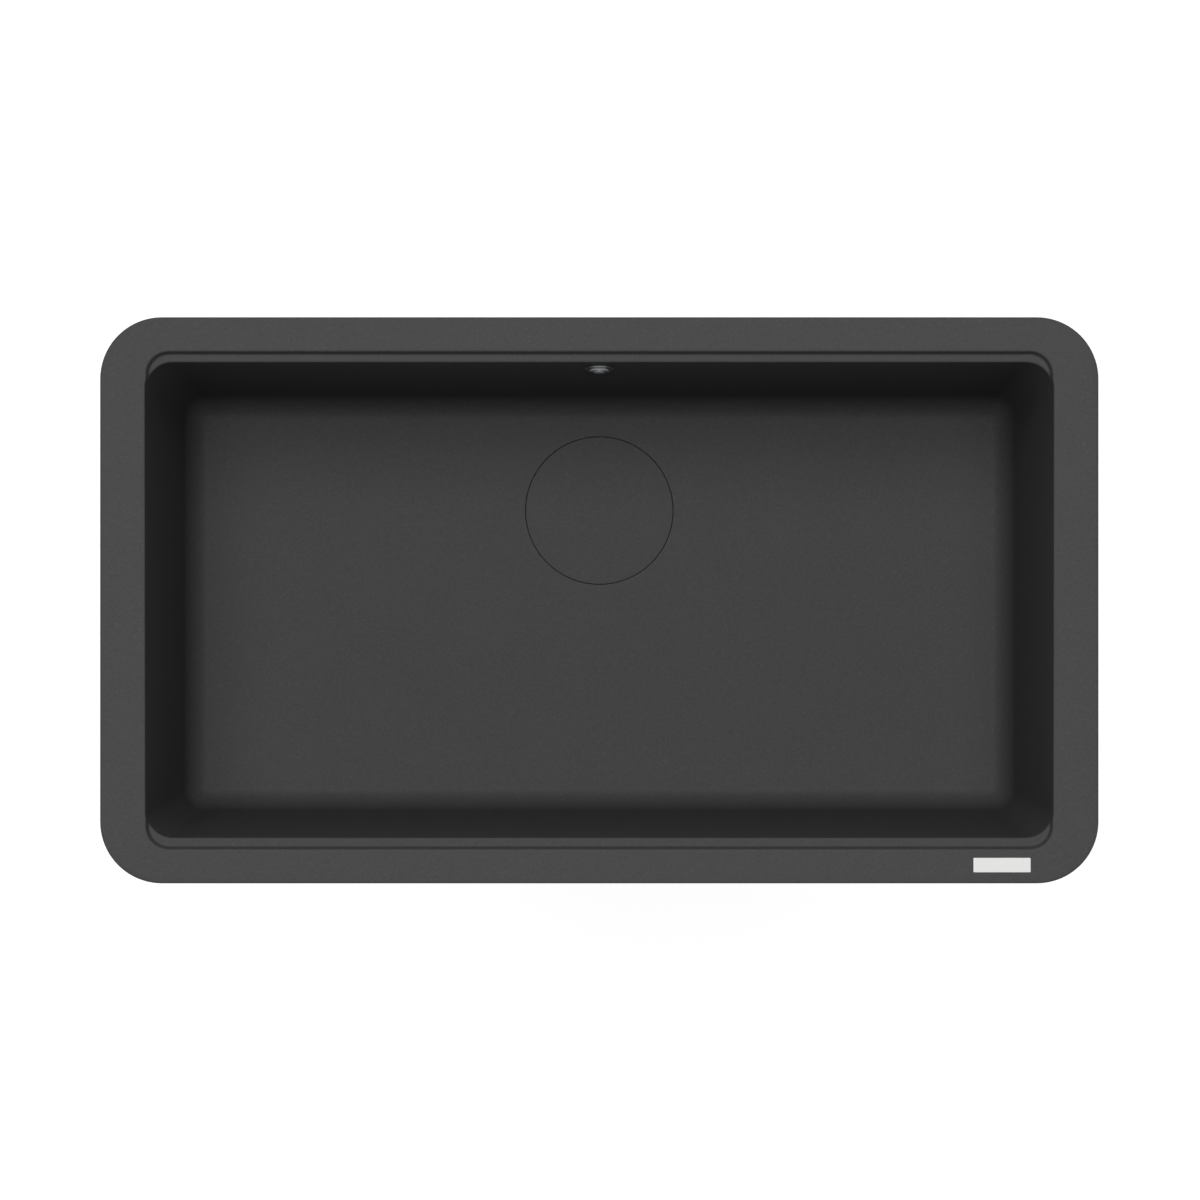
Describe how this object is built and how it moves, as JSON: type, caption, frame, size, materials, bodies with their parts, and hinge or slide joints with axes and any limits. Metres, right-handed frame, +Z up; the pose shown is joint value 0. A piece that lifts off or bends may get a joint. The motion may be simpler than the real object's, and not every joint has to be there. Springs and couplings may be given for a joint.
{
  "type": "inset kitchen sink",
  "caption": "Inset single-bowl kitchen sink in dark stone composite, with a board recess, a covered basket strainer waste, an overflow with its hose, and fixing claws.",
  "frame": {"origin": "middle of the rim's outline, at the height of the worktop that the rim's underside rests on", "axes": "+X to the right along the long side, +Y to the back, +Z up out of the bowl"},
  "size_m": [0.76, 0.431, 0.3023],
  "materials": {
    "stone": "matte",
    "label": "satin",
    "foam": "matte",
    "rubber": "matte",
    "steel": "satin",
    "chrome": "polished",
    "brass": "satin",
    "dark_plastic": "satin",
    "hose_plastic": "satin"
  },
  "bodies": {
    "root": {"basin": "stone", "rim_label": "label", "rim_seal": "foam", "waste_flange": "steel", "flange_seal": "rubber", "body_seal": "rubber", "waste_body": "dark_plastic", "clamp_screw": "steel", "clamp_insert": "brass", "overflow_rose": "chrome", "overflow_cap": "chrome", "overflow_screw": "chrome", "overflow_washer": "rubber", "elbow_seal": "rubber", "overflow_elbow": "dark_plastic", "elbow_insert": "brass", "overflow_hose": "hose_plastic", "hose_nuts": "dark_plastic", "hose_washers": "rubber", "claw_inserts": "brass", "claw_screws": "steel", "claw_washers": "steel"},
    "basket": {"strainer_basket": "steel", "basket_stem": "dark_plastic", "basket_knob": "dark_plastic", "basket_seal": "rubber"},
    "cover": {"waste_cover": "stone", "cover_feet": "rubber"},
    "claw_front_left": {"claw_front_left": "steel"},
    "claw_front_middle": {"claw_front_middle": "steel"},
    "claw_front_right": {"claw_front_right": "steel"},
    "claw_back_left": {"claw_back_left": "steel"},
    "claw_back_middle": {"claw_back_middle": "steel"},
    "claw_back_right": {"claw_back_right": "steel"},
    "claw_left": {"claw_left": "steel"},
    "claw_right": {"claw_right": "steel"}
  },
  "joints": [
    {"name": "basket_lift", "type": "slide", "parent": "root", "child": "basket", "axis": [0, 0, 1], "range_m": [0, 0.27]},
    {"name": "cover_lift", "type": "slide", "parent": "basket", "child": "cover", "axis": [0, 0, 1], "range_m": [0, 0.23]},
    {"name": "claw_front_left_turn", "type": "hinge", "parent": "root", "child": "claw_front_left", "pos_m": [-0.24, -0.19793, -0.051], "axis": [0, 0, 1], "range_deg": [0, 90]},
    {"name": "claw_front_middle_turn", "type": "hinge", "parent": "root", "child": "claw_front_middle", "pos_m": [0, -0.19793, -0.051], "axis": [0, 0, 1], "range_deg": [0, 90]},
    {"name": "claw_front_right_turn", "type": "hinge", "parent": "root", "child": "claw_front_right", "pos_m": [0.24, -0.19793, -0.051], "axis": [0, 0, 1], "range_deg": [0, 90]},
    {"name": "claw_back_left_turn", "type": "hinge", "parent": "root", "child": "claw_back_left", "pos_m": [-0.24, 0.19793, -0.051], "axis": [0, 0, 1], "range_deg": [0, 90]},
    {"name": "claw_back_middle_turn", "type": "hinge", "parent": "root", "child": "claw_back_middle", "pos_m": [-0.08, 0.19793, -0.051], "axis": [0, 0, 1], "range_deg": [0, 90]},
    {"name": "claw_back_right_turn", "type": "hinge", "parent": "root", "child": "claw_back_right", "pos_m": [0.24, 0.19793, -0.051], "axis": [0, 0, 1], "range_deg": [0, 90]},
    {"name": "claw_left_turn", "type": "hinge", "parent": "root", "child": "claw_left", "pos_m": [-0.36195, 0, -0.051], "axis": [0, 0, 1], "range_deg": [0, 90]},
    {"name": "claw_right_turn", "type": "hinge", "parent": "root", "child": "claw_right", "pos_m": [0.36195, 0, -0.051], "axis": [0, 0, 1], "range_deg": [0, 90]}
  ]
}
